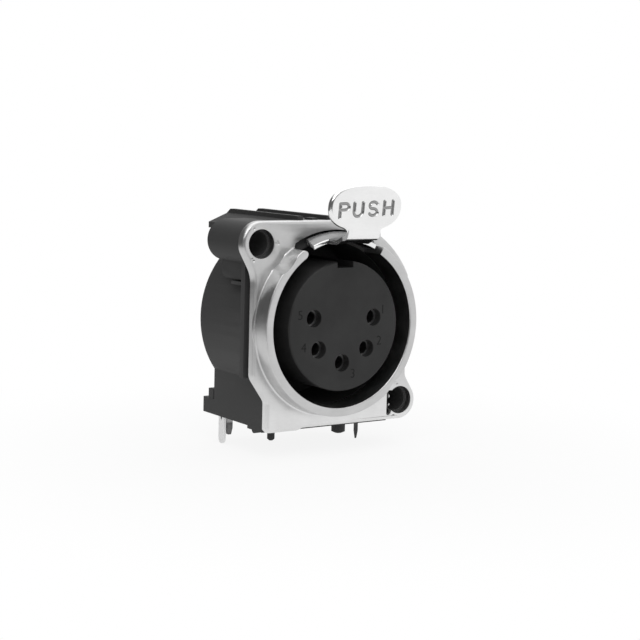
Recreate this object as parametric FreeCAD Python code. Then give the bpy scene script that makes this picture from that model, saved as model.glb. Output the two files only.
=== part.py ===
"""Round five-contact panel socket with a push latch, for mounting flat on a circuit board.

Frame: origin on the axis of the mating bore, on the front face of the plate.
+X is right as seen from the front, +Y goes back into the socket, +Z is up.
All sizes are in millimetres.
"""
import math
import os

import FreeCAD, Part

# Mating bore and collar
bore_r = 9.65
collar_length = 2.2
collar_wall = 1.05
collar_flare = 0.10
collar_chamfer = 0.20
collar_gap_half_deg = 31.0
collar_root = 0.2
window_clear = 0.70
window_half_deg = 31.5

# Plate
plate_t = 1.1
plate_edge_break = 0.30
plate_side_land = 0.30
plate_top_land = 1.15
plate_corner_land = 1.18
plate_below_base = 0.07
plate_blank_corner_r = 0.3
plate_foot_inset = 2.0
plate_foot_right = 3.9
plate_foot_depth = 0.25
plate_foot_step = 0.6
plate_foot_blend_r = 1.0
plate_foot_corner_r = 0.6
plate_notch_low = 8.7
plate_notch_low_r = 1.0
plate_notch_high = 5.8
plate_notch_high_r = 1.5
lobe_r = 2.52
lobe_shoulder = 0.6
lobe_shoulder_r = 2.2
lobe_blend_drop = 3.6
lobe_blend_r = 3.5
lobe_right_r = 2.40
lobe_right_trim = 0.2
lobe_right_shoulder = 0.55
lobe_right_blend_rise = 2.95
lobe_right_blend_r = 1.2

# Screw holes
hole_r = 1.67
hole_left_inset = 0.85
hole_left_drop = 2.60
hole_right_inset = 0.90
hole_right_rise = 2.35
driver_clear_r = 3.35
driver_clear_taper = 0.35
dimple_r = 0.28
dimple_depth = 0.12
dimple_circle_r = 2.15
dimples_left_deg = (122.0, 2.0, 238.0)
dimples_right_deg = (105.0, -2.0, 248.0)
clip_slot_out = 1.90
clip_slot_in = 1.15
clip_slot_rise = 1.25
clip_slot_drop = 1.75

# Housing
barrel_wall = 1.35
barrel_behind_blade = 0.4
neck_wall = 0.85
neck_length = 0.9
rim_length = 0.85
rim_rise = 0.06
rim_low = 6.0
rim_right_high = 4.5
boss_wall = 0.98
boss_rear = 8.1
boss_bore_r = 1.45
seat_depth = 9.2
seat_step = 0.55
roof_half_width = 7.3
roof_flat_half = 4.6
roof_t = 0.5
roof_shoulder_drop = 1.1
roof_overhang = 3.4
roof_rear_slant = 0.3
roof_step_gap = 0.6
roof_step_rise = 1.04
roof_underside_drop = 0.3
rib_width = 0.7
rib_height = 0.5
rib_pitch = 4.05
rib_slant = 0.9
roof_bead_width = 0.8
roof_bead_length = 1.6
roof_bead_rise = 0.25
base_half_width = 8.93
base_wall = 0.93
base_floor = 1.08
ledge_overhang = 1.15
ledge_t = 1.88
foot_rear = 4.35
foot_drop = 0.35
foot_bump_r = 0.45
foot_bump_y = 2.9
foot_bump_half_length = 0.7
pad_out = 10.75
pad_front = 3.05
pad_rear = 7.8
pad_low = 5.27
pad_high = 7.8
pad_corner_r = 1.1
pad_ledge_rear = 5.3
pad_ledge_drop = 0.61
pad_ledge_t = 0.4
peg_x = 5.0
peg_right_y = 5.6
peg_left_y = 5.3
peg_right_r = 0.85
peg_left_r = 0.45
peg_root_step = 0.25
peg_root_drop = 0.07
peg_reach = 2.32
peg_taper = 0.2

# Contact insert
groove_width = 1.98
insert_face = -2.2
insert_edge = 0.15
flange_t = 1.0
key_half_width = 1.1
key_depth = 0.8

# Contacts: front place of each, and where its tail meets the board
contact_circle_r = 4.33
contact_angle_deg = 78.5
contact_step_deg = 51.5
tail_pitch = 3.8
entry_r = 1.0
entry_depth = 1.05
sleeve_r = 1.27
sleeve_bore_r = 0.80
sleeve_floor = 2.2
sleeve_slit = 0.3
sleeve_slit_length = 4.5
tail_gap = 0.35
tail_width = 0.8
tail_t = 0.5
tail_taper = 0.8
tail_reach = 2.32

# Rear cover
cover_gap = 0.25
cover_t = 1.15
cover_step = 0.6
cover_foot_height = 1.2
cover_top_gap = 0.4
cover_rim_wall = 0.8
cover_rim_half_deg = 75

# Latch
latch_t = 0.5
wing_clear = 0.25
wing_half_deg = 25.5
wing_front = -2.0
wing_rear = 0.6
neck_half_width = 2.37
web_inset = 0.15
web_bend_y = -3.3
tab_foot_y = -5.75
tab_foot_rise = 0.25
tab_lean = 0.11
bend_inner_r = 0.5
bend_rise = 0.35
tab_half_width = 5.03
tab_centre_rise = 3.75
tab_top_half = 2.5
tab_low_half = 2.75
tab_roundness = 2.4
arm_drop = 0.05
tooth_half_width = 1.2
tooth_front = 1.9
tooth_tip_front = 3.1
tooth_rear = 3.9
tooth_drop = 0.53
pivot_setback = 0.3
pivot_rise = 0.6
pin_r = 0.6
pin_left = -4.4
pin_recess = 0.3
knuckle_wall = 0.45
tunnel_headroom = 1.35
tunnel_slot_half = 1.8

# Springs and earthing pieces
spring_t = 0.15
spring_half_width = 1.5
spring_anchor_gap = 1.7
spring_anchor_length = 1.6
spring_run = 4.6
spring_toe_length = 0.6
spring_toe_lift = 0.25
leaf_t = 0.25
leaf_half_width = 1.0
leaf_angle_deg = 234.6
leaf_inset = 0.10
leaf_bow = 0.40
leaf_front = 2.6
leaf_flat_from = 8.0
leaf_clear = 0.08
blade_inset = 0.48
blade_t = 0.3
blade_width = 1.25
blade_reach = 3.42
blade_notch = 0.35
clip_side_gap = 0.10
clip_t = 0.3
clip_front = 0.7
clip_rear = 6.98
clip_top_gap = 0.15
clip_low_gap = 0.30
clip_tail_width = 0.56
clip_tail_point = 1.0
clip_reach = 3.57
clip_prong = 0.93
clip_prong_height = 0.95
clip_prong_drop = 0.7

# Clearances
running = 0.05
slip = 0.03
loose = 0.2
past = 1.0

# Sizes that follow from the ones above
collar_front = -collar_length
wing_inner = bore_r + wing_clear
wing_outer = wing_inner + latch_t
window_r = wing_outer + window_clear
plate_half_width = bore_r + collar_wall + plate_side_land
plate_top = window_r + plate_top_land
plate_corner_r = window_r + plate_corner_land
plate_foot_left = plate_half_width - plate_foot_inset
neck_r = bore_r + neck_wall
barrel_r = bore_r + barrel_wall
base_bottom = barrel_r + base_floor
plate_bottom = base_bottom + plate_below_base
ledge_top = base_bottom - ledge_t
hole_left_x = hole_left_inset - plate_half_width
hole_left_z = plate_top - hole_left_drop
hole_right_x = plate_half_width - hole_right_inset
hole_right_z = hole_right_rise - plate_bottom
clip_slot_left = hole_right_x - clip_slot_out
clip_slot_right = hole_right_x - clip_slot_in
clip_slot_top = hole_right_z + clip_slot_rise
clip_slot_bottom = hole_right_z - clip_slot_drop
clip_x = clip_slot_left + clip_side_gap
clip_top = clip_slot_top - clip_top_gap
clip_low = clip_slot_bottom + clip_low_gap
insert_r = bore_r - groove_width
key_floor = insert_r - key_depth
leaf_outer = bore_r - leaf_inset
arm_bottom = wing_inner - arm_drop
arm_top = arm_bottom + latch_t
web_half = neck_half_width - web_inset
tab_foot_z = arm_top + tab_foot_rise
tab_centre_z = arm_top + tab_centre_rise
tooth_reach = bore_r - tooth_drop
pivot_z = arm_bottom + pivot_rise
tunnel_top = arm_top + tunnel_headroom
roof_top = tunnel_top + roof_t
roof_shoulder = roof_top - roof_shoulder_drop
roof_underside = bore_r - roof_underside_drop
roof_step = roof_underside + roof_step_rise
rib_left_x = rib_width / 2 - roof_flat_half
cover_top = roof_underside - cover_top_gap
flange_flat = roof_underside - running
barrel_front = plate_t + neck_length
rim_half = barrel_r + rim_rise
rim_rear = barrel_front + rim_length
boss_r = boss_bore_r + boss_wall
seat_r = bore_r + seat_step
flange_r = seat_r - loose / 2
flange_rear = seat_depth + flange_t
tail_front = flange_rear + tail_gap
tail_rear = tail_front + tail_t
tail_tip = base_bottom + tail_reach
leaf_rear = tail_front - leaf_clear
blade_x = blade_inset - base_half_width
blade_front = tail_front
blade_rear = blade_front + blade_width
blade_tip = base_bottom + blade_reach
clip_tip = base_bottom + clip_reach
peg_tip = base_bottom + peg_reach
pad_root = math.sqrt(neck_r ** 2 - pad_high ** 2)
barrel_rear = blade_rear + barrel_behind_blade
cover_r = flange_r - cover_step
cover_front = barrel_rear + cover_gap
cover_rear = cover_front + cover_t
ledge_rear = cover_rear + ledge_overhang
roof_rear = cover_rear + roof_overhang
roof_step_front = cover_rear + roof_step_gap
spigot_front = tail_rear + loose
tongue_half_width = base_half_width - base_wall
cover_half_width = tongue_half_width - loose / 2
cover_foot_half_width = base_half_width - slip
sleeve_front = insert_face + entry_depth + slip
sleeve_hole_r = sleeve_r + slip
sleeve_bore_end = flange_rear - sleeve_floor
pivot_y = barrel_rear + pivot_setback
pin_right = roof_half_width - pin_recess
spring_anchor_rear = pivot_y - spring_anchor_gap
spring_anchor_front = spring_anchor_rear - spring_anchor_length
spring_toe = spring_anchor_front - spring_run
tunnel_half = web_half + loose
pin_hole_r = pin_r + slip
knuckle_bore_r = pin_r + running
knuckle_r = knuckle_bore_r + knuckle_wall
pocket_half = tongue_half_width + running
pocket_floor = ledge_top + cover_gap


def vec(x, y, z):
    return FreeCAD.Vector(x, y, z)


def box(x0, x1, y0, y1, z0, z1):
    """Block between two corners."""
    return Part.makeBox(x1 - x0, y1 - y0, z1 - z0, vec(x0, y0, z0))


def rod_y(x, z, r, y0, y1):
    """Round bar along Y."""
    return Part.makeCylinder(r, y1 - y0, vec(x, y0, z), vec(0, 1, 0))


def rod_x(y, z, r, x0, x1):
    """Round bar along X."""
    return Part.makeCylinder(r, x1 - x0, vec(x0, y, z), vec(1, 0, 0))


def cone_y(x, z, r0, r1, y0, y1):
    """Cone along Y with radius r0 at y0 and r1 at y1."""
    return Part.makeCone(r0, r1, y1 - y0, vec(x, y0, z), vec(0, 1, 0))


def ring_y(r_in, r_out, y0, y1):
    """Tube about the bore axis."""
    return rod_y(0, 0, r_out, y0, y1).cut(rod_y(0, 0, r_in, y0 - past, y1 + past))


def fused(first, *others):
    """One solid from several, without seam lines between them."""
    return first.fuse(list(others)).removeSplitter()


def prism_y(points, y0, y1):
    """Straight-sided (x, z) outline carried from y0 to y1."""
    wire = Part.makePolygon([vec(x, y0, z) for x, z in points] + [vec(points[0][0], y0, points[0][1])])
    return Part.Face(wire).extrude(vec(0, y1 - y0, 0))


def prism_x(points, x0, x1):
    """Straight-sided (y, z) outline carried from x0 to x1."""
    wire = Part.makePolygon([vec(x0, y, z) for y, z in points] + [vec(x0, points[0][0], points[0][1])])
    return Part.Face(wire).extrude(vec(x1 - x0, 0, 0))


def around(r, degrees):
    """Point (x, z) on a circle about the bore axis; 0 degrees is the top, positive turns right."""
    turn = math.radians(degrees)
    return r * math.sin(turn), r * math.cos(turn)


def wedge_y(half_deg, r, y0, y1):
    """Pie slice about the bore axis, centred on the top."""
    x, z = around(r / math.cos(math.radians(half_deg)), half_deg)
    return prism_y([(0, 0), (-x, z), (x, z)], y0, y1)


def sector_y(r_in, r_out, half_deg, y0, y1):
    """Part of a tube about the bore axis, centred on the top."""
    return ring_y(r_in, r_out, y0, y1).common(wedge_y(half_deg, 2 * r_out, y0 - past, y1 + past))


def rounded_outline(corners, y):
    """Closed wire at one y through (x, z, radius) corners, each rounded by its own radius."""
    edges = []
    starts = []
    ends = []
    count = len(corners)
    for i, (x, z, radius) in enumerate(corners):
        here = vec(x, y, z)
        before = vec(corners[i - 1][0], y, corners[i - 1][1]) - here
        after = vec(corners[(i + 1) % count][0], y, corners[(i + 1) % count][1]) - here
        before.normalize()
        after.normalize()
        half = before.getAngle(after) / 2
        reach = radius / math.tan(half)
        middle = (before + after).normalize()
        centre = here + middle * (radius / math.sin(half))
        starts.append(here + before * reach)
        ends.append(here + after * reach)
        edges.append(Part.Arc(starts[i], centre - middle * radius, ends[i]).toShape())
    for i in range(count):
        edges.append(Part.makeLine(ends[i], starts[(i + 1) % count]))
    return Part.Wire(Part.__sortEdges__(edges))


def plate_blank():
    """Stamped outline with two screw lobes, one round corner and a foot at the lower left."""
    left = -plate_half_width
    lobe_left = hole_left_x - lobe_r
    lobe_right = hole_right_x + lobe_right_r
    corners = [
        (lobe_left, plate_top, lobe_r),
        (plate_half_width, plate_top, plate_blank_corner_r),
        (plate_half_width, hole_right_z + lobe_right_blend_rise, lobe_right_blend_r),
        (lobe_right, hole_right_z + lobe_right_shoulder, lobe_right_r - lobe_right_trim),
        (lobe_right, -plate_bottom, lobe_right_r - lobe_right_trim),
        (-plate_foot_right, -plate_bottom, plate_foot_blend_r),
        (-plate_foot_right - plate_foot_step, -plate_bottom - plate_foot_depth, plate_foot_blend_r),
        (-plate_foot_left, -plate_bottom - plate_foot_depth, plate_foot_corner_r),
        (-plate_foot_left, -plate_notch_low, plate_notch_low_r),
        (left, -plate_notch_high, plate_notch_high_r),
        (left, hole_left_z - lobe_blend_drop, lobe_blend_r),
        (lobe_left, hole_left_z - lobe_shoulder, lobe_shoulder_r),
    ]
    blank = Part.Face(rounded_outline(corners, 0)).extrude(vec(0, plate_t, 0))
    corner = box(0, plate_half_width + past, -past, plate_t + past, 0, plate_top + past)
    blank = blank.cut(corner.cut(rod_y(0, 0, plate_corner_r, -2 * past, plate_t + 2 * past)))
    front = [e for e in blank.Edges if e.BoundBox.YMax < 1e-6]
    return blank.makeChamfer(plate_edge_break, front)


def collar():
    """Round collar with a gap at the top for the latch, and a rounded nose at the gap's left end."""
    outer_front = bore_r + collar_wall
    body = cone_y(0, 0, outer_front, outer_front + collar_flare, collar_front, collar_root)
    body = body.cut(rod_y(0, 0, bore_r, collar_front - past, past))
    lip = cone_y(0, 0, bore_r + collar_chamfer, bore_r, collar_front, collar_front + collar_chamfer)
    nose_r = collar_wall / 2
    nose_deg = math.degrees(nose_r / (bore_r + nose_r))
    gap = wedge_y(collar_gap_half_deg, 2 * bore_r, collar_front - past, past)
    shift = FreeCAD.Placement(vec(0, 0, 0), FreeCAD.Rotation(vec(0, 1, 0), -nose_deg))
    gap_left = gap.copy()
    gap_left.Placement = shift
    nose_x, nose_z = around(bore_r + nose_r, -collar_gap_half_deg - nose_deg)
    nose = rod_y(nose_x, nose_z, nose_r, collar_front, collar_root)
    return body.cut(lip).cut(gap.fuse(gap_left)).fuse(nose)


def driver_scoop(x, z):
    """Space beside a screw hole that lets the screw's head pass the collar."""
    return cone_y(x, z, driver_clear_r + driver_clear_taper, driver_clear_r, collar_front, 0)


def dimples(x, z, angles):
    """Small round marks left by the press round a screw hole."""
    marks = []
    for degrees in angles:
        dx, dz = around(dimple_circle_r, 90 - degrees)
        marks.append(rod_y(x + dx, z + dz, dimple_r, -past, dimple_depth))
    return marks


def front_plate():
    """Metal plate and collar in one piece."""
    body = fused(plate_blank().cut(rod_y(0, 0, bore_r, -past, plate_t + past)), collar())
    window = sector_y(bore_r - loose, window_r, window_half_deg, 0, plate_t + past)
    slot = box(clip_slot_left, clip_slot_right, -past, plate_t + past, clip_slot_bottom, clip_slot_top)
    tools = [window, slot]
    for x, z in ((hole_left_x, hole_left_z), (hole_right_x, hole_right_z)):
        tools.append(rod_y(x, z, hole_r, collar_front, plate_t + past))
        tools.append(driver_scoop(x, z))
    tools += dimples(hole_left_x, hole_left_z, dimples_left_deg)
    tools += dimples(hole_right_x, hole_right_z, dimples_right_deg)
    return body.cut(tools)


def roof():
    """Block over the latch, with sloping shoulders, a stepped rear overhang and two ribs."""
    low = bore_r / 2
    section = [
        (-roof_half_width, low),
        (-roof_half_width, roof_shoulder),
        (-roof_flat_half, roof_top),
        (roof_flat_half, roof_top),
        (roof_half_width, roof_shoulder),
        (roof_half_width, low),
    ]
    block = prism_y(section, plate_t, roof_rear)
    below = box(-roof_half_width - past, roof_half_width + past, barrel_rear, roof_rear + past,
                0, roof_underside)
    under_tip = box(-roof_half_width - past, roof_half_width + past, roof_step_front, roof_rear + past,
                    0, roof_step)
    block = block.cut([below, under_tip])
    ribs = []
    for x in (rib_left_x, rib_left_x + rib_pitch):
        top = roof_top + rib_height
        side = [
            (plate_t, roof_step),
            (plate_t, top),
            (roof_rear + roof_rear_slant - rib_slant, top),
            (roof_rear + roof_rear_slant, roof_top - 0.1),
            (roof_rear, roof_step),
        ]
        ribs.append(prism_x(side, x - rib_width / 2, x + rib_width / 2))
    bead_x = rib_left_x + rib_pitch / 2
    bead = box(bead_x - roof_bead_width / 2, bead_x + roof_bead_width / 2, plate_t,
               plate_t + roof_bead_length, roof_top - 0.1, roof_top + roof_bead_rise)
    return fused(block, bead, *ribs)


def rim():
    """Upright flange behind the plate's edges, with flat sides that run up to the left boss."""
    sides = box(-rim_half, rim_half, barrel_front, rim_rear, -rim_low, rim_right_high)
    up_left = box(-rim_half, -roof_half_width, barrel_front, rim_rear, 0, hole_left_z - boss_r / 2)
    return [sides, up_left]


def bosses():
    """Round bosses behind the two screw holes; the left one runs into the roof, the right into the base."""
    left = rod_y(hole_left_x, hole_left_z, boss_r, plate_t, boss_rear)
    web = box(hole_left_x, -roof_half_width + loose / 2, plate_t, boss_rear,
              hole_left_z - past, hole_left_z + boss_r)
    right = rod_y(hole_right_x, hole_right_z, boss_r, plate_t, boss_rear)
    root = box(bore_r / 2, hole_right_x, plate_t, boss_rear,
               hole_right_z - boss_r / 2, hole_right_z + boss_r / 2)
    return [left, web, right, root]


def side_pad():
    """Raised pad on the barrel below the left boss, with a thin ledge under it."""
    pad = box(-pad_out, -pad_root, pad_front, pad_rear, pad_low, pad_high)
    edge = [e for e in pad.Edges if e.BoundBox.XLength > 1 and e.BoundBox.YMin > pad_rear - 0.01
            and e.BoundBox.ZMax < pad_low + 0.01]
    pad = pad.makeFillet(pad_corner_r, edge)
    ledge = box(-pad_out - pad_ledge_t / 2, -pad_root, pad_front, pad_ledge_rear,
                pad_low - pad_ledge_drop, pad_low - pad_ledge_drop + pad_ledge_t)
    return [pad, ledge]


def peg(x, y, r):
    """Locating peg under the base, thicker at its root and tapered at its tip."""
    down = vec(0, 0, -1)
    top = -base_bottom + past / 2
    root_low = -base_bottom - foot_drop - peg_root_drop
    taper_top = -peg_tip + peg_taper
    root = Part.makeCylinder(r + peg_root_step, top - root_low, vec(x, y, top), down)
    shaft = Part.makeCylinder(r, top - taper_top, vec(x, y, top), down)
    tip = Part.makeCone(r, r / 2, peg_taper, vec(x, y, taper_top), down)
    return root.fuse([shaft, tip])


def base():
    """Foot of the housing that stands on the board."""
    block = box(-base_half_width, base_half_width, plate_t, barrel_rear, -base_bottom, -barrel_r / 2)
    ledge = box(-base_half_width, base_half_width, barrel_rear - 0.5, ledge_rear, -base_bottom, -ledge_top)
    foot = box(-base_half_width, base_half_width, plate_t, foot_rear,
               -base_bottom - foot_drop, -base_bottom + past / 2)
    bumps = []
    for side in (-1, 1):
        x = side * (base_half_width - foot_bump_half_length)
        bumps.append(rod_x(foot_bump_y, -base_bottom - foot_drop + 0.1, foot_bump_r,
                           x - foot_bump_half_length, x + foot_bump_half_length))
    pegs = [peg(peg_x, peg_right_y, peg_right_r), peg(-peg_x, peg_left_y, peg_left_r)]
    return [block, ledge, foot] + pegs + bumps


def latch_tunnel():
    """Room for the latch arm, its pivot and the slot that its tooth drops through."""
    entry = box(-tunnel_half, tunnel_half, plate_t - past, barrel_front, 0, tunnel_top)
    run = box(-tunnel_half, tunnel_half, plate_t, pivot_y + knuckle_r + loose,
              arm_bottom - slip, tunnel_top)
    slot = box(-tunnel_slot_half, tunnel_slot_half, plate_t, seat_depth + past, bore_r / 2, arm_top)
    well = box(-tunnel_half, tunnel_half, seat_depth, pivot_y + knuckle_r + loose, bore_r / 2, tunnel_top)
    pin_bore = rod_x(pivot_y, pivot_z, pin_hole_r, pin_left, roof_half_width + past)
    return [entry, run, slot, well, pin_bore]


def tail_room():
    """Pocket behind the insert and the slots through the floor for the tails."""
    pocket = box(-pocket_half, pocket_half, flange_rear, barrel_rear + past, -pocket_floor, 0)
    inner = rod_y(0, 0, barrel_r - loose, flange_rear - past, barrel_rear + 2 * past)
    reach = box(-pocket_half, pocket_half, flange_rear, barrel_rear + past,
                -pocket_floor, -pocket_floor / 2)
    pocket = pocket.common(inner).fuse(reach)
    tools = [pocket]
    for number in range(1, 6):
        x = tail_x(number)
        half = tail_width / 2 + loose / 2
        tools.append(box(x - half, x + half, tail_front - loose / 2, tail_rear + loose / 2,
                         -base_bottom - past, -barrel_r / 2))
    tools.append(box(blade_x - slip, loose - pocket_half, flange_rear, blade_rear + slip,
                     -base_bottom - past, -barrel_r / 2))
    return tools


def clip_room():
    """Thin pocket for the earthing clip beside the lower screw hole."""
    x0 = clip_x - slip
    x1 = clip_x + clip_t + slip
    pocket = box(x0, x1, plate_t - past, clip_rear + slip, clip_low - slip, clip_top + slip)
    way_out = box(x0, x1, clip_rear - clip_tail_width - slip, clip_rear + slip,
                  -base_bottom - past, clip_low)
    return [pocket, way_out]


def housing():
    """Black moulding: barrel, roof, bosses and base in one piece."""
    neck = rod_y(0, 0, neck_r, plate_t, barrel_front)
    barrel = rod_y(0, 0, barrel_r, barrel_front, barrel_rear)
    body = fused(neck, barrel, roof(), *(rim() + bosses() + side_pad() + base()))
    tools = [
        rod_y(0, 0, bore_r, plate_t - past, seat_depth + past),
        rod_y(0, 0, seat_r, seat_depth, barrel_rear).common(
            box(-seat_r, seat_r, seat_depth, barrel_rear, -seat_r, roof_underside)),
        rod_y(0, 0, seat_r, barrel_rear - 0.01, barrel_rear + past).common(
            box(-seat_r, seat_r, 0, barrel_rear + past, -seat_r, roof_underside)),
    ]
    for x, z in ((hole_left_x, hole_left_z), (hole_right_x, hole_right_z)):
        tools.append(rod_y(x, z, boss_bore_r, plate_t - past, boss_rear + past))
    return body.cut(tools + latch_tunnel() + tail_room() + clip_room())


def contact_place(number):
    """Centre (x, z) of a contact, seen from the front: 1 at the right, 5 at the left."""
    degrees = contact_angle_deg + (number - 1) * contact_step_deg
    return around(contact_circle_r, degrees)


def tail_x(number):
    """Where a contact's tail stands along the row under the base."""
    return (3 - number) * tail_pitch


def contact_insert():
    """Dark insulator that carries the contacts, seated by its flange from behind."""
    body = rod_y(0, 0, insert_r, insert_face, seat_depth)
    rim = [e for e in body.Edges if e.BoundBox.YMax < insert_face + 0.01]
    body = body.makeChamfer(insert_edge, rim)
    flange = rod_y(0, 0, flange_r, seat_depth, flange_rear)
    flange = flange.common(box(-flange_r, flange_r, seat_depth, flange_rear, -flange_r, flange_flat))
    body = fused(body, flange)
    tools = [box(-key_half_width, key_half_width, insert_face - past, seat_depth,
                 key_floor, insert_r + past)]
    for number in range(1, 6):
        x, z = contact_place(number)
        tools.append(rod_y(x, z, entry_r, insert_face - past, flange_rear))
        tools.append(rod_y(x, z, sleeve_hole_r, sleeve_front - slip, flange_rear + past))
    notch = box(-leaf_half_width - slip, leaf_half_width + slip, seat_depth - 0.1, flange_rear + past,
                leaf_outer - leaf_t - loose, flange_r + past)
    notch.rotate(vec(0, 0, 0), vec(0, 1, 0), leaf_angle_deg)
    return body.cut(tools + [notch])


def tapered_tail(x, y0, y1, z_top, z_tip, width):
    """Flat board tail with its sides drawn in towards a blunt tip."""
    outline = [
        (x - width / 2, z_top),
        (x - width / 2, z_tip + tail_taper),
        (x - width / 4, z_tip),
        (x + width / 4, z_tip),
        (x + width / 2, z_tip + tail_taper),
        (x + width / 2, z_top),
    ]
    return prism_y(outline, y0, y1)


def contact(number):
    """Turned sleeve with a split mouth, and a flat tail that turns down to the board."""
    x, z = contact_place(number)
    sleeve = rod_y(x, z, sleeve_r, sleeve_front, flange_rear)
    sleeve = sleeve.cut(rod_y(x, z, sleeve_bore_r, sleeve_front - past, sleeve_bore_end))
    slit = box(x - sleeve_slit / 2, x + sleeve_slit / 2,
               sleeve_front - past, sleeve_front + sleeve_slit_length, z, z + 2 * sleeve_r)
    neck = rod_y(x, z, tail_width / 2, flange_rear - 0.2, tail_front + 0.1)
    foot_x = tail_x(number)
    low_x = min(x, foot_x) - tail_width / 2
    high_x = max(x, foot_x) + tail_width / 2
    across = box(low_x, high_x, tail_front, tail_rear, z - tail_width / 2, z + tail_width / 2)
    down = tapered_tail(foot_x, tail_front, tail_rear, z + tail_width / 2, -tail_tip, tail_width)
    return fused(sleeve.cut(slit), neck, across, down)


def rear_cover():
    """Plate that closes the back, with a spigot behind the tails and two feet on the ledge."""
    disc = rod_y(0, 0, cover_r, cover_front, cover_rear)
    disc = disc.common(box(-cover_r, cover_r, 0, cover_rear, -cover_r, cover_top))
    skirt = box(-cover_half_width, cover_half_width, cover_front, cover_rear, -ledge_top, -2)
    feet = box(-cover_foot_half_width, cover_foot_half_width, cover_front, cover_rear,
               -ledge_top, -ledge_top + cover_foot_height)
    spigot = rod_y(0, 0, flange_r, spigot_front, cover_front + 0.1)
    spigot = spigot.common(box(-flange_r, flange_r, 0, cover_rear, -flange_r, cover_top))
    tongue = box(-tongue_half_width, tongue_half_width, spigot_front, cover_front + 0.1,
                 -ledge_top, -flange_r / 2)
    rim = sector_y(flange_r - cover_rim_wall, flange_r, cover_rim_half_deg, flange_rear, spigot_front + 0.1)
    rim = rim.common(box(-flange_r, flange_r, 0, cover_rear, 0, cover_top))
    return fused(disc, skirt, feet, spigot, tongue, rim)


def tab_outline(y):
    """Face of the push tab: a superellipse on a narrow neck with round inner corners."""
    power = tab_roundness

    def low_z(x):
        share = 1 - (x / tab_half_width) ** power
        return tab_centre_z - tab_low_half * share ** (1 / power)

    shoulder_x = neck_half_width + 0.75
    shoulder = (shoulder_x, low_z(shoulder_x))
    half = []
    steps = 8
    start_angle = -math.acos((shoulder_x / tab_half_width) ** (power / 2))
    for i in range(steps + 1):
        angle = start_angle + (math.pi / 2 - start_angle) * i / steps
        x = tab_half_width * abs(math.cos(angle)) ** (2 / power)
        rise = tab_top_half if angle > 0 else tab_low_half
        z = tab_centre_z + math.copysign(rise * abs(math.sin(angle)) ** (2 / power), angle)
        half.append((x, z))
    right = [vec(x, y, z) for x, z in half]
    left = [vec(-x, y, z) for x, z in reversed(half)]
    curve = Part.BSplineCurve()
    curve.interpolate(right + left[1:])
    hip = (web_half, tab_foot_z + 0.4)
    waist = (neck_half_width + 0.05, shoulder[1] - 0.38)
    foot = (hip[0], tab_foot_z - 0.2)
    edges = [curve.toShape(), Part.makeLine(vec(-foot[0], y, foot[1]), vec(foot[0], y, foot[1]))]
    for side in (-1, 1):
        low, mid, high, end = [vec(side * x, y, z) for x, z in (foot, hip, waist, shoulder)]
        edges.append(Part.makeLine(low, mid))
        edges.append(Part.Arc(mid, high, end).toShape())
    return Part.Wire(Part.__sortEdges__(edges))


def bend_centre():
    """Centre (y, z) of the bend that turns the web up into the tab."""
    outer = bend_inner_r + latch_t
    z = arm_top + bend_rise + bend_inner_r
    slope = math.hypot(1, tab_lean)
    y = tab_foot_y + (outer * slope - tab_lean * (z - tab_foot_z))
    return y, z


def tab():
    """Push tab, leaning slightly forward, with the bend at its foot."""
    y_bend, z_bend = bend_centre()
    outer = bend_inner_r + latch_t
    top = tab_centre_z + tab_top_half + past
    slope = math.hypot(1, tab_lean)

    def front_y(z):
        return tab_foot_y - tab_lean * (z - tab_foot_z)

    lean = math.atan(tab_lean)
    tangent_z = z_bend - outer * math.sin(lean)
    sheet = [
        (front_y(tangent_z), tangent_z),
        (front_y(top), top),
        (front_y(top) + latch_t * slope, top),
        (front_y(tangent_z) + latch_t * slope, tangent_z),
    ]
    slab = prism_x(sheet, -tab_half_width - past, tab_half_width + past)
    reach = Part.Face(tab_outline(front_y(top) - past)).extrude(vec(0, 4 * past, 0))
    slab = slab.common(reach)
    curl = rod_x(y_bend, z_bend, outer, -web_half, web_half)
    curl = curl.cut(rod_x(y_bend, z_bend, bend_inner_r, -web_half, web_half))
    back = y_bend
    keep = [
        (back, z_bend),
        (back, z_bend - 2 * outer),
        (back - 3 * outer, z_bend - 2 * outer),
        (back - 3 * outer, z_bend - 3 * outer * math.tan(lean)),
    ]
    return slab, curl.common(prism_x(keep, -web_half, web_half))


def web():
    """Sheet between the wing and the bend, arched at the wing and flat at the bend."""
    y_bend, z_bend = bend_centre()
    low = z_bend - bend_inner_r - latch_t
    high = z_bend - bend_inner_r

    def section(y, inner_z, outer_z, rise):
        corners = [(-web_half, inner_z), (web_half, inner_z), (web_half, outer_z), (-web_half, outer_z)]
        a, b, c, d = [vec(x, y, z) for x, z in corners]
        under = Part.Arc(a, vec(0, y, inner_z + rise), b).toShape()
        over = Part.Arc(c, vec(0, y, outer_z + rise), d).toShape()
        return Part.Wire([under, Part.makeLine(b, c), over, Part.makeLine(d, a)])

    inner_edge = math.sqrt(wing_inner ** 2 - web_half ** 2)
    outer_edge = math.sqrt(wing_outer ** 2 - web_half ** 2)
    arched = section(web_bend_y, inner_edge, outer_edge, wing_inner - inner_edge)
    flat = section(y_bend, low, high, 0.02)
    blend = Part.makeLoft([flat, arched], True, True)
    straight = sector_y(wing_inner, wing_outer, wing_half_deg, web_bend_y, barrel_front)
    straight = straight.common(box(-web_half, web_half, web_bend_y, barrel_front - loose,
                                   0, wing_outer + past))
    return blend, straight


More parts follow.
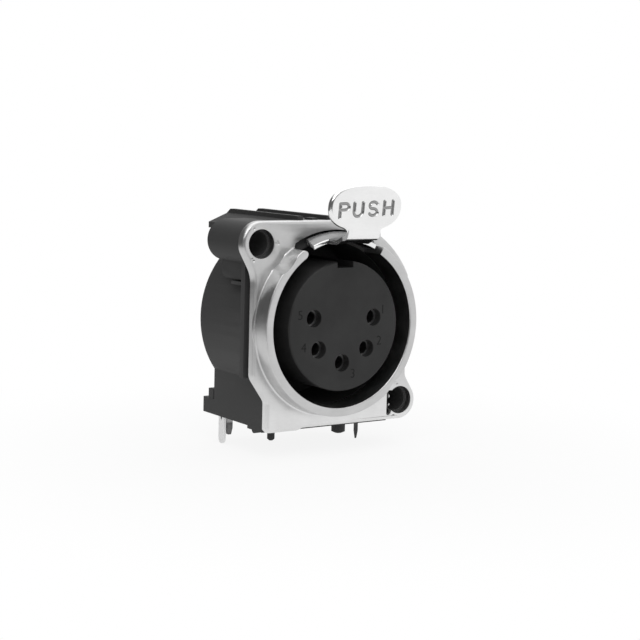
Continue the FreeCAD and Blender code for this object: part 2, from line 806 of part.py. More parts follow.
def latch_lever():
    """Bent sheet lever: push tab, web, arched wing, arm with tooth, and pivot knuckle."""
    wing = sector_y(wing_inner, wing_outer, wing_half_deg, wing_front, wing_rear)
    arm = box(-web_half, web_half, plate_t + 0.3, pivot_y, arm_bottom, arm_top)
    arm = arm.common(rod_y(0, 0, wing_outer, plate_t, pivot_y))
    tooth = prism_x([(tooth_front, arm_bottom + 0.2), (tooth_tip_front, tooth_reach),
                     (tooth_rear, tooth_reach), (tooth_rear, arm_bottom + 0.2)],
                    -tooth_half_width, tooth_half_width)
    knuckle = rod_x(pivot_y, pivot_z, knuckle_r, -web_half, web_half)
    body = fused(wing, arm, tooth, knuckle, *web(), *tab())
    return body.cut(rod_x(pivot_y, pivot_z, knuckle_bore_r, -web_half - past, web_half + past))


def latch_pin():
    """Steel pin that the lever turns on."""
    return rod_x(pivot_y, pivot_z, pin_r, pin_left, pin_right)


def latch_spring():
    """Leaf under the roof that presses the lever down."""
    roof_z = tunnel_top
    toe_z = arm_top
    profile = [
        (spring_anchor_rear, roof_z),
        (spring_anchor_rear, roof_z - spring_t),
        (spring_anchor_front, roof_z - spring_t),
        (spring_toe + spring_toe_length, toe_z),
        (spring_toe, toe_z + spring_toe_lift),
        (spring_toe, toe_z + spring_toe_lift + spring_t),
        (spring_toe + spring_toe_length, toe_z + spring_t),
        (spring_anchor_front, roof_z),
    ]
    return prism_x(profile, -spring_half_width, spring_half_width)


def shell_ground_spring():
    """Leaf that lies along the bore wall to touch the plug's shell, with a blade down to the board."""
    out = leaf_outer
    middle = (leaf_front + leaf_flat_from) / 2
    profile = [
        (leaf_front, out),
        (middle, out - leaf_bow),
        (leaf_flat_from, out),
        (leaf_rear, out),
        (leaf_rear, out - leaf_t),
        (leaf_flat_from, out - leaf_t),
        (middle, out - leaf_bow - leaf_t),
        (leaf_front, out - leaf_t),
    ]
    leaf = prism_x(profile, -leaf_half_width, leaf_half_width)
    leaf.rotate(vec(0, 0, 0), vec(0, 1, 0), leaf_angle_deg)
    leaf_x, leaf_z = around(leaf_outer - leaf_t, leaf_angle_deg)
    joint = box(min(blade_x, leaf_x), max(blade_x + blade_t, leaf_x + leaf_half_width / 2),
                leaf_rear - leaf_t, leaf_rear, leaf_z - 0.7, leaf_z + 0.3)
    upper = box(blade_x, blade_x + blade_t, leaf_rear - leaf_t, tail_rear, -base_bottom + past, leaf_z)
    tip_r = (blade_rear - blade_front) / 2
    mid_y = (blade_front + blade_rear) / 2
    lower = box(blade_x, blade_x + blade_t, blade_front, blade_rear,
                -blade_tip + tip_r, -base_bottom + 2 * past)
    tip = rod_x(mid_y, -blade_tip + tip_r, tip_r, blade_x, blade_x + blade_t)
    notch_z = -base_bottom + 0.1
    notch = prism_x([(mid_y - blade_notch, notch_z), (mid_y + blade_notch, notch_z),
                     (mid_y, notch_z - 2 * blade_notch)], blade_x - past, blade_x + blade_t + past)
    return fused(leaf, joint, upper, lower, tip).cut(notch)


def panel_ground_clip():
    """Strip beside the lower screw hole with two prongs for the screw and a tail for the board."""
    x0 = clip_x
    x1 = clip_x + clip_t
    strip = box(x0, x1, clip_front, clip_rear, clip_low, clip_top)
    y0 = clip_rear - clip_tail_width
    root = clip_low + clip_tail_width
    point = -clip_tip + clip_tail_point
    tail = prism_x([(y0, root), (y0, point), ((y0 + clip_rear) / 2, -clip_tip),
                    (clip_rear, point), (clip_rear, root)], x0, x1)
    reach = hole_right_x - clip_prong
    upper = prism_y([(x0, clip_top), (x0 + clip_prong_height / 2, clip_top),
                     (reach, clip_top - clip_prong_drop), (reach - 0.2, clip_top - clip_prong_height),
                     (x0, clip_top - clip_prong_height)], clip_front, clip_front + clip_t)
    lower = prism_y([(x0, clip_low + clip_prong_height), (reach, clip_low + clip_prong_height),
                     (reach - 0.1, clip_low + clip_prong_drop), (x0, clip_low)],
                    clip_front, clip_front + clip_t)
    return fused(strip, tail, upper, lower)


def save(name, shape):
    """Write one solid to its own file."""
    solid = shape.Solids[0] if len(shape.Solids) == 1 else shape
    solid.exportStep(os.path.join("parts", name + ".step"))


def main():
    os.makedirs("parts", exist_ok=True)
    pieces = {
        "front_plate": front_plate(),
        "housing": housing(),
        "rear_cover": rear_cover(),
        "contact_insert": contact_insert(),
        "latch_lever": latch_lever(),
        "latch_pin": latch_pin(),
        "latch_spring": latch_spring(),
        "shell_ground_spring": shell_ground_spring(),
        "panel_ground_clip": panel_ground_clip(),
    }
    for number in range(1, 6):
        pieces["contact_%d" % number] = contact(number)
    for name, shape in pieces.items():
        save(name, shape)
        print(name, len(shape.Solids), shape.isValid(), round(shape.Volume, 2))


main()
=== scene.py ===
"""Dressed model of a round five-contact panel socket with a push latch.

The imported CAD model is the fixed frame. Plate and lever are rebuilt as numpy surfaces, the
other pieces are softened copies of their nodes, and all get procedural finishes. Lengths
are in millimetres here and become metres in the meshes.
Frame: origin on the bore axis at the plate's front face, +X right, +Y back, +Z up.
"""

import logging
import math
from dataclasses import dataclass
from enum import Enum
from typing import Callable, Sequence

import bmesh
import bpy
import numpy as np
from mathutils import Matrix, Vector
from mathutils.geometry import delaunay_2d_cdt


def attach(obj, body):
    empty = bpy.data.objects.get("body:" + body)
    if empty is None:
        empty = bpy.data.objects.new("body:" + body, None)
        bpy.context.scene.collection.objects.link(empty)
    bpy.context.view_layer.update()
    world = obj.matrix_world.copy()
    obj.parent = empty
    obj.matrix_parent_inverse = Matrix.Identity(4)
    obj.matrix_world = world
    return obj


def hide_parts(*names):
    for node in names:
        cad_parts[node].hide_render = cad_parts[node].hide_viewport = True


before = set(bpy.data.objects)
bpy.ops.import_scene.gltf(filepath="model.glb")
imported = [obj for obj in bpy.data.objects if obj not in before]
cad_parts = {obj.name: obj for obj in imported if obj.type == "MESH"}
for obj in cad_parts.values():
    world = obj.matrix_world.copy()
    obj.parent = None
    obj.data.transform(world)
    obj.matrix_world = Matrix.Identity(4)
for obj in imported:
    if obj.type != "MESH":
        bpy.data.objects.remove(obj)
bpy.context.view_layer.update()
LOG = logging.getLogger("socket")
MM = 0.001
Array = np.ndarray
SHARP_TURN = math.radians(30.0)
"""Edges of a softened piece that turn more are rounded."""
TAB_LEAN = 0.11
"""Forward lean of the push tab, for each millimetre of height."""
TAB_FOOT = (-5.75, 10.6)
"""A point (y, z) of the tab's front face, at its foot."""
WORD_BOX = (3.96, 12.67, 15.10)
"""Half width, bottom and top of the field round the pressed word."""


class Body(Enum):
    """The two rigid bodies that pieces ride on."""

    SOCKET = "socket"
    LATCH = "latch"


class CollarEnd(Enum):
    """How an end of the collar's gap is rounded in front view."""

    NOSE = "nose"
    SQUARE = "square"


def _operator(operation: str) -> Callable[["Socket", "Socket | float"], "Socket"]:
    """Makes the method of a Socket that adds one Math node of an operation with another value."""
    return lambda self, other: self._math(operation, self, other)


class Socket:
    """A shader socket that can be used in arithmetic, each operation adding a Math node."""

    def __init__(self, bench: "Bench", link: bpy.types.NodeSocket) -> None:
        """Wraps one output socket of a bench's node tree."""
        self.bench = bench
        self.link = link

    def _math(self, operation: str, *operands: "Socket | float") -> "Socket":
        """Adds one Math node of an operation, with sockets or numbers in the node's order."""
        return self.bench.node("ShaderNodeMath", {"operation": operation}, dict(enumerate(operands)))

    def __rsub__(self, other: float) -> "Socket":
        """Difference from a number."""
        return self._math("SUBTRACT", other, self)

    __add__ = __radd__ = _operator("ADD")
    __sub__ = _operator("SUBTRACT")
    __mul__ = __rmul__ = _operator("MULTIPLY")
    __pow__ = _operator("POWER")
    most = _operator("MAXIMUM")

    def size(self) -> "Socket":
        """The value without its sign."""
        return self._math("ABSOLUTE", self)

    def step(self, low: float, high: float) -> "Socket":
        """A soft step that rises from 0 at low to 1 at high."""
        inputs = {"Value": self, "From Min": low, "From Max": high}
        return self.bench.node("ShaderNodeMapRange", {"interpolation_type": "SMOOTHSTEP"}, inputs)


class Bench:
    """A node tree and the methods that fill it."""

    def __init__(self, tree: bpy.types.NodeTree) -> None:
        """Takes over an empty tree."""
        self.tree = tree
        self.tree.nodes.clear()

    def node(self, kind: str, settings: dict, inputs: dict, output: int | str = 0) -> Socket:
        """Adds any node.

        Args:
            kind: The node's type.
            settings: Attributes that are set first.
            inputs: Socket index or name to a value or a Socket.
            output: Which output to hand back.

        Returns:
            That output, ready for arithmetic.
        """
        made = self.tree.nodes.new(kind)
        for key, value in settings.items():
            setattr(made, key, value)
        for key, value in inputs.items():
            if isinstance(value, Socket):
                self.tree.links.new(value.link, made.inputs[key])
            else:
                made.inputs[key].default_value = value
        return Socket(self, made.outputs[output])

    def place(self) -> Socket:
        """Object coordinates, in metres."""
        return self.node("ShaderNodeTexCoord", {}, {}, "Object")

    def axis(self, letter: str) -> Socket:
        """One of the object coordinates, in millimetres."""
        return self.node("ShaderNodeSeparateXYZ", {}, {0: self.place()}, letter) * (1 / MM)

    def noise(
        self, size: float, detail: float = 3.0, rough: float = 0.5, stretch: Sequence[float] = (1, 1, 1)
    ) -> Socket:
        """Cloudy noise.

        Args:
            size: Width of a blot in millimetres.
            detail: Octaves of finer noise.
            rough: Weight of the finer octaves.
            stretch: Scale along each axis.

        Returns:
            Values about a mean of one half.
        """
        where = self.node("ShaderNodeMapping", {}, {"Vector": self.place(), "Scale": tuple(stretch)})
        inputs = {"Vector": where, "Scale": 1 / (size * MM), "Detail": detail, "Roughness": rough}
        return self.node("ShaderNodeTexNoise", {}, inputs)

    def blend(self, amount: Socket, low: Sequence[float], high: Sequence[float]) -> Socket:
        """A colour between two, by an amount from 0 to 1, through the Mix node's colour sockets."""
        inputs = {0: amount, 6: (*low, 1.0), 7: (*high, 1.0)}
        return self.node("ShaderNodeMix", {"data_type": "RGBA"}, inputs, 2)

    def bump(self, height: Socket, depth: float) -> Socket:
        """Normal bent by a height between 0 and 1, for a relief whose depth is in millimetres."""
        return self.node("ShaderNodeBump", {}, {"Height": height, "Distance": depth * MM, "Strength": 1.0})

    def ray(self, kind: str) -> Socket:
        """One for rays of a kind, such as Camera."""
        return self.node("ShaderNodeLightPath", {}, {}, "Is %s Ray" % kind)

    def seen(self) -> Socket:
        """One for rays of the camera, of reflections and through glass."""
        camera, glossy, through = (self.ray(kind) for kind in ("Camera", "Glossy", "Transmission"))
        return camera.most(glossy).most(through)


class Dress(Bench):
    """A material with one Principled shader."""

    def __init__(self, name: str) -> None:
        """Starts the material and joins its shader to the output."""
        self.material = bpy.data.materials.new(name)
        self.material.use_nodes = True
        super().__init__(self.material.node_tree)
        self.out = self.tree.nodes.new("ShaderNodeOutputMaterial")
        self.shader = self.tree.nodes.new("ShaderNodeBsdfPrincipled")
        self.tree.links.new(self.shader.outputs[0], self.out.inputs[0])

    def set(self, **values: object) -> None:
        """Puts constants and links on the Principled shader, with underscores for spaces."""
        for key, value in values.items():
            socket = self.shader.inputs[key.replace("_", " ")]
            if isinstance(value, Socket):
                self.tree.links.new(value.link, socket)
            else:
                socket.default_value = value


def add_object(name: str, data: bpy.types.ID) -> bpy.types.Object:
    """Links a new object with some data to the scene."""
    thing = bpy.data.objects.new(name, data)
    bpy.context.scene.collection.objects.link(thing)
    return thing


def grey(value: float) -> tuple[float, float, float]:
    """A neutral colour."""
    return value, value, value


@dataclass(frozen=True)
class PlatedMetal:
    """Nickel plating: a pale metal with cloudy tone, soft grain and faint rub marks."""

    name: str
    tone: float = 0.62
    tone_spread: float = 0.08
    roughness: float = 0.30
    rough_spread: float = 0.08
    cloud: float = 2.6
    grain: float = 0.10
    grain_depth: float = 0.004
    # Tone for painted shade; on the plate, the tone away from its painted highlight.
    unlit_tone: float | None = None
    dull_rough: float = 0.12

    def shade_and_dullness(self, bench: Dress) -> Socket | float:
        """From 0 to 1, where the unlit tone, used for painted shade, and the added roughness show. Plain
        plating has none.
        """
        return 0.0

    def material(self) -> bpy.types.Material:
        """Builds the material.

        The colour's share between the unlit tone, used for painted shade, and the polished tone is
        (1 - shade and dullness) (1 - spread share) + cloud (spread share).

        Returns:
            A metal whose tone and roughness wander, with a fine grain.
        """
        bench = Dress(self.name)
        cloud = bench.noise(self.cloud, 4.0, 0.6)
        fine = bench.noise(self.grain, 2.0, 0.6)
        rub = bench.noise(0.5, 3.0, 0.7, (0.25, 1.0, 1.6))
        mixed = cloud * 0.7 + rub * 0.3
        shade_and_dullness = self.shade_and_dullness(bench)
        low = (self.unlit_tone or self.tone) - self.tone_spread
        high = self.tone + self.tone_spread
        spread = 2 * self.tone_spread / (high - low)
        share = mixed.step(0.3, 0.7) * spread + (1 - shade_and_dullness) * (1 - spread)
        rough = self.roughness + (mixed - 0.5) * (4 * self.rough_spread) + (fine - 0.5) * 0.06
        bench.set(
            Base_Color=bench.blend(share, grey(low), grey(high)),
            Roughness=rough + shade_and_dullness * self.dull_rough,
            Normal=bench.bump(fine * 0.6 + rub * 0.4, self.grain_depth),
            Metallic=1.0,
        )
        return bench.material


@dataclass(frozen=True)
class LatchMetal(PlatedMetal):
    """Polished lever with painted shade on the web, the wing and in the pressed letters, where it is also
    rougher.
    """

    web_half: float = 2.25
    web_front: float = -4.75
    wing_front: float = -1.93
    letter_shade_share: float = 0.8
    web_reach: float = -5.5

    def shade_and_dullness(self, bench: Dress) -> Socket:
        """Painted shade, with more roughness, behind the bend on the web, behind the front edge on the
        wing, and in the letters.

        A letter's depth is y - foot y + lean (z - foot z), which is zero on the tab's face.
        """
        x, y, z = bench.axis("X"), bench.axis("Y"), bench.axis("Z")
        side = x.size()
        web = 1 - side.step(self.web_half, self.web_half + 0.05)
        web = web * y.step(self.web_front, self.web_front + 0.3)
        wing = y.step(self.wing_front, self.wing_front + 0.05)
        depth = y + z * TAB_LEAN - (TAB_FOOT[0] + TAB_LEAN * TAB_FOOT[1])
        half, low, high = WORD_BOX
        field = (1 - side.step(half - 0.04, half)) * (z.step(low, low + 0.03) - z.step(high - 0.04, high))
        letters = depth.step(0.01, 0.09) * (1 - depth.step(0.2, 0.3)) * field
        front = 1 - y.step(self.web_reach - 0.1, self.web_reach)
        # Painted shade: web behind the bend, wing behind its front edge, and the letters' grooves.
        return web.most(wing).most(letters * front * self.letter_shade_share)


@dataclass(frozen=True)
class PlateMetal(PlatedMetal):
    """Plating with a painted highlight, brighter on the plate's face near its foot."""

    bright_below: float = -12.0
    unlit_above: float = -4.0
    collar_y: tuple[float, float] = (-1.2, -0.4)

    def shade_and_dullness(self, bench: Dress) -> Socket:
        """The unlit tone above the painted highlight at the foot, and on the collar's front."""
        face = bench.axis("Y").step(*self.collar_y)
        return bench.axis("Z").step(self.bright_below, self.unlit_above).most(1 - face)


@dataclass(frozen=True)
class TailMetal(PlatedMetal):
    """Strip or contact with painted shade on its tail, and on a strip also left of its prongs."""

    bright_x: float = -20.0
    tail_z: float = -12.8

    def shade_and_dullness(self, bench: Dress) -> Socket:
        """Painted shade left of the bright part and along the tail."""
        strip = 1 - bench.axis("X").step(self.bright_x, self.bright_x + 0.08)
        return strip.most(1 - bench.axis("Z").step(self.tail_z - 0.2, self.tail_z))


@dataclass(frozen=True)
class Moulding:
    """Dark moulded plastic with a spark-eroded grain and slight sheen changes."""

    name: str
    tone: float = 0.035
    roughness: float = 0.42
    grain: float = 0.16
    grain_depth: float = 0.006
    tone_spread: float = 0.006
    specular: float = 0.5

    def material(self) -> bpy.types.Material:
        """Builds the material.

        Returns:
            A plastic with fine grain and broad flow marks.
        """
        bench = Dress(self.name)
        flow = bench.noise(4.5, 3.0, 0.55, (1.0, 0.4, 1.0))
        fine = bench.noise(self.grain, 2.0, 0.5)
        low, high = grey(self.tone - self.tone_spread), grey(self.tone + self.tone_spread)
        bench.set(
            Base_Color=bench.blend(flow.step(0.25, 0.75), low, high),
            Roughness=self.roughness + (flow - 0.5) * 0.16 + (fine - 0.5) * 0.12,
            Normal=bench.bump(fine, self.grain_depth),
            Specular_IOR_Level=self.specular,
        )
        return bench.material


@dataclass(frozen=True)
class EngravingShade:
    """Painted shade for the engraved contact numbers: a thin sheet a little darker than the face."""

    name: str
    tone: float = 0.008

    def material(self) -> bpy.types.Material:
        """Builds the material."""
        bench = Dress(self.name)
        fine = bench.noise(0.08, 2.0)
        bench.set(
            Base_Color=bench.blend(fine, grey(self.tone * 0.8), grey(self.tone * 1.2)),
            Roughness=0.55 + (fine - 0.5) * 0.1,
            Specular_IOR_Level=0.15,
        )
        return bench.material


Finish = PlatedMetal | Moulding | EngravingShade

# Plate: the higher tone near the foot is a painted highlight; the lower tone is the plating elsewhere.
PLATE_FINISH = PlateMetal("plate_nickel", tone=0.74, tone_spread=0.04, roughness=0.33, unlit_tone=0.56,
                          dull_rough=0.0)
# Latch: the low unlit tone is painted shade on the web, the wing and the letters.
LATCH_FINISH = LatchMetal("latch_nickel", tone=0.84, tone_spread=0.03, roughness=0.16, rough_spread=0.03,
                          grain_depth=0.001, unlit_tone=0.21)
STRIP_FINISH = PlatedMetal("tinned_strip", tone=0.70, tone_spread=0.06, roughness=0.25, cloud=1.2)
# Clip and contacts: the unlit tone is painted shade on the tails, and on the clip left of its prongs.
CLIP_FINISH = TailMetal("clip_tin", tone=0.80, tone_spread=0.02, roughness=0.22, cloud=1.2, unlit_tone=0.06,
                        bright_x=8.95)
CONTACT_FINISH = TailMetal("contact_silver", tone=0.42, tone_spread=0.05, roughness=0.36, cloud=0.8,
                           unlit_tone=0.16)
STEEL_FINISH = PlatedMetal("spring_steel", tone=0.35, tone_spread=0.05, roughness=0.33, cloud=1.5)
BLACK_FINISH = Moulding("black_moulding", tone=0.026, roughness=0.42)
INSERT_FINISH = Moulding("insert_moulding", tone=0.018, roughness=0.55, grain=0.12, grain_depth=0.004,
                         specular=0.35)
# Painted shade for the engraved numbers.
NUMBER_FINISH = EngravingShade("number_engraving_shade")


Lift = Callable[[Array], Array]
Profile = Sequence[tuple[float, float]]


def unit(vectors: Array) -> Array:
    """Vectors with their length made one."""
    return vectors / (np.linalg.norm(vectors, axis=-1, keepdims=True) + 1e-12)


def places(x: Array, y: Array | float, z: Array | float) -> Array:
    """Points with shape (..., 3) from coordinates that are spread to their common shape."""
    return np.stack(np.broadcast_arrays(x, y, z), axis=-1)


def on_front(y: float) -> Lift:
    """Takes (x, z) points to the plane at one y."""
    return lambda flat: places(flat[:, 0], y, flat[:, 1])


def eased(value: Array) -> Array:
    """A smooth step of a value, 0 up to zero and 1 from one."""
    share = np.clip(value, 0, 1)
    return share ** 2 * (3 - 2 * share)


class Shell:
    """Gathers surface patches in millimetres and joins them into one mesh object in metres."""

    def __init__(self) -> None:
        """Starts with no patches."""
        self.points: list[Array] = []
        self.faces: list[Array] = []
        self.total = 0

    def _add(self, points: Array, faces: Array) -> None:
        """Keeps some points and the faces between them."""
        self.points.append(points.reshape(-1, 3))
        self.faces.append(faces + self.total)
        self.total += len(self.points[-1])

    def grid(self, xyz: Array, around: bool = False) -> None:
        """Adds a surface sampled on a grid.

        Args:
            xyz: Points with shape (rows, columns, 3).
            around: Whether the last column joins the first.
        """
        rows, cols = xyz.shape[:2]
        index = np.arange(rows * cols).reshape(rows, cols)
        if around:
            index = np.hstack([index, index[:, :1]])
        quads = np.stack([index[:-1, :-1], index[:-1, 1:], index[1:, 1:], index[1:, :-1]], axis=-1)
        self._add(xyz, quads.reshape(-1, 4))

    def sweep(self, radius: Array, turn: Array, depth: Array, middle: float) -> None:
        """Adds a closed profile carried round the bore's axis and fills its two ends.

        Args:
            radius: Distance from the axis, a row for each angle.
            turn: Angles from the top, positive to the right.
            depth: Places along Y.
            middle: Radius towards which the ends are filled.
        """
        sin, cos = np.sin(turn), np.cos(turn)
        skin, heart = (places(reach * sin, depth, reach * cos) for reach in (radius, middle))
        skin, heart = (np.concatenate([rows, rows[:, :1]], axis=1) for rows in (skin, heart))
        self.grid(skin)
        for end in (0, -1):
            self.grid(np.stack([skin[end], heart[end]]))

    def rim(self, loop: Array, steps: Profile, lift: Callable[[float], Lift] = on_front) -> None:
        """Adds a profile, given as (inward distance, depth), carried along a closed outline."""
        self.grid(np.stack([lift(depth)(offset(loop, inward)) for inward, depth in steps]), around=True)

    def sheet(self, loops: Sequence[Array], lift: Lift) -> None:
        """Fills the flat region between an outer loop and its holes.

        A triangle stays where its middle is inside an odd number of loops.

        Args:
            loops: Closed outlines as (n, 2) arrays, the outer one first.
            lift: Takes (n, 2) points to (n, 3) places.
        """
        flat = np.concatenate(loops)
        edges = []
        for loop in loops:
            ring = np.arange(len(loop)) + len(edges)
            edges += np.column_stack([ring, np.roll(ring, -1)]).tolist()
        found = delaunay_2d_cdt([Vector(p) for p in flat.tolist()], edges, [], 0, 1e-7, False)
        points = np.array([tuple(p) for p in found[0]])
        faces = np.array([f[:3] for f in found[2]], dtype=int)
        middle = points[faces].mean(axis=1)
        inside = np.logical_xor.reduce([within(middle, loop) for loop in loops])
        self._add(lift(points), faces[inside])

    def build(self, name: str, sharp_deg: float = 32.0) -> bpy.types.Object:
        """Makes the mesh object.

        Args:
            name: The object's name.
            sharp_deg: Edges that turn more than this stay crisp.

        Returns:
            The object, linked to the scene, with its doubles merged and normals outward.
        """
        mesh = bpy.data.meshes.new(name)
        points = np.concatenate(self.points) * MM
        mesh.from_pydata(points.tolist(), [], [f for part in self.faces for f in part.tolist()])
        work = bmesh.new()
        work.from_mesh(mesh)
        bmesh.ops.remove_doubles(work, verts=work.verts, dist=2e-7)
        bmesh.ops.dissolve_degenerate(work, edges=work.edges, dist=1e-7)
        bmesh.ops.recalc_face_normals(work, faces=work.faces)
        work.to_mesh(mesh)
        work.free()
        mesh.polygons.foreach_set("use_smooth", [True] * len(mesh.polygons))
        mesh.set_sharp_from_angle(angle=math.radians(sharp_deg))
        return add_object(name, mesh)


def within(points: Array, loop: Array) -> Array:
    """Says which points lie inside a closed outline, by counting the edges to their right.

    Args:
        points: Places with shape (n, 2).
        loop: The outline with shape (m, 2).

    Returns:
        A truth value for each point.
    """
    a = loop[None, :, :]
    b = np.roll(loop, -1, axis=0)[None, :, :]
    x, y = points[:, None, 0], points[:, None, 1]
    spans = (a[..., 1] > y) != (b[..., 1] > y)
    rise = np.where(spans, b[..., 1] - a[..., 1], 1.0)
    cross = a[..., 0] + (y - a[..., 1]) / rise * (b[..., 0] - a[..., 0])
    return (spans & (x < cross)).sum(axis=1) % 2 == 1


def circle(x: float, z: float, r: float, count: int = 72) -> Array:
    """Round loop, counter-clockwise from the front."""
    return arc(x, z, r, 0, 360, count + 1)[:-1]


def arc(x: float, z: float, r: float, start_deg: float, end_deg: float, count: int) -> Array:
    """Points of an arc, angles measured from +X towards +Z."""
    turn = np.radians(np.linspace(start_deg, end_deg, count))
    return np.column_stack([x + r * np.cos(turn), z + r * np.sin(turn)])


def rounded(corners: Sequence[tuple[float, float, float]], step_deg: float = 7.0) -> Array:
    """Closed outline through corners, each rounded by a tangent arc.

    Args:
        corners: Corner place and radius (x, z, r), in order.
        step_deg: Turn between points on an arc.

    Returns:
        The outline as (n, 2) points.
    """
    places = np.array([c[:2] for c in corners])
    pieces = []
    for here, before, after, corner in zip(places, np.roll(places, 1, 0), np.roll(places, -1, 0), corners):
        to_before = (before - here) / np.linalg.norm(before - here)
        to_after = (after - here) / np.linalg.norm(after - here)
        half = math.acos(float(np.clip(to_before @ to_after, -1, 1))) / 2
        middle = (to_before + to_after) / np.linalg.norm(to_before + to_after)
        centre = here + middle * corner[2] / math.sin(half)
        sweep = math.pi - 2 * half
        count = max(2, int(math.degrees(sweep) / step_deg) + 2)
        spin = np.linspace(-sweep / 2, sweep / 2, count)
        side = np.sign(to_before[0] * to_after[1] - to_before[1] * to_after[0])
        cos, sin = np.cos(spin * -side), np.sin(spin * -side)
        out = -middle * corner[2]
        turned = [centre[0] + out[0] * cos - out[1] * sin, centre[1] + out[0] * sin + out[1] * cos]
        pieces.append(np.column_stack(turned))
    return np.concatenate(pieces)


def offset(loop: Array, inward: float) -> Array:
    """Moves a closed outline inward along its mitred normals.

    Args:
        loop: The outline, either way round.
        inward: Distance, negative to move outward.

    Returns:
        The moved outline, point for point.
    """
    ahead = unit(np.roll(loop, -1, axis=0) - loop)
    area = np.sum(loop[:, 0] * np.roll(loop[:, 1], -1) - np.roll(loop[:, 0], -1) * loop[:, 1])
    normal = ahead[:, ::-1] * [-1, 1] * np.sign(area)
    mean = unit(normal + np.roll(normal, 1, axis=0))
    stretch = 1 / np.clip(np.sum(mean * normal, axis=1, keepdims=True), 0.4, 1)
    return loop + mean * stretch * inward


def quarter(r: float, count: int = 6) -> Array:
    """Quarter round from the side, at depth r, to the front, at inset r."""
    return arc(r, r, r, 180, 270, count)


def softened(node: str, name: str, width: float) -> bpy.types.Object:
    """Copies a CAD node, merges its triangles into clean faces and rounds its sharp edges.

    Args:
        node: The CAD node.
        name: The new piece's name.
        width: Width of the rounding in millimetres.

    Returns:
        The piece, which stands for the node.
    """
    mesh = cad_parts[node].data.copy()
    mesh.name = name
    thing = add_object(name, mesh)
    work = bmesh.new()
    work.from_mesh(mesh)
    bmesh.ops.remove_doubles(work, verts=work.verts, dist=1e-6)
    bmesh.ops.dissolve_limit(work, angle_limit=math.radians(0.6), verts=work.verts, edges=work.edges)
    work.to_mesh(mesh)
    work.free()
    mesh.materials.clear()
    mesh.polygons.foreach_set("use_smooth", [True] * len(mesh.polygons))
    mesh.set_sharp_from_angle(angle=SHARP_TURN)
    while mesh.uv_layers:
        mesh.uv_layers.remove(mesh.uv_layers[0])
    bevel = thing.modifiers.new("edge", "BEVEL")
    bevel.width = width * MM
    bevel.segments = 2
    bevel.limit_method = "ANGLE"
    bevel.angle_limit = SHARP_TURN
    bevel.use_clamp_overlap = True
    bevel.harden_normals = True
    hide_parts(node)
    return thing


def finish_piece(thing: bpy.types.Object, finish: Finish, body: Body) -> None:
    """Dresses a piece, joins it to its body and reports it.

    Args:
        thing: The piece.
        finish: What it is made of.
        body: The rigid body that it rides on.
    """
    found = bpy.data.materials.get(finish.name) or finish.material()
    thing.data.materials.clear()
    thing.data.materials.append(found)
    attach(thing, body.value)
    LOG.info("%s: %d faces, %s", thing.name, len(thing.data.polygons), finish.name)


def soft_pieces(rows: Sequence[tuple[str, str, float, Finish, str]]) -> None:
    """Softens and dresses nodes, given as (node, new name, width of the rounding, finish, slot)."""
    for node, name, width, finish, slot in rows:
        finish_piece(softened(node, name, width), finish, Body.SOCKET)


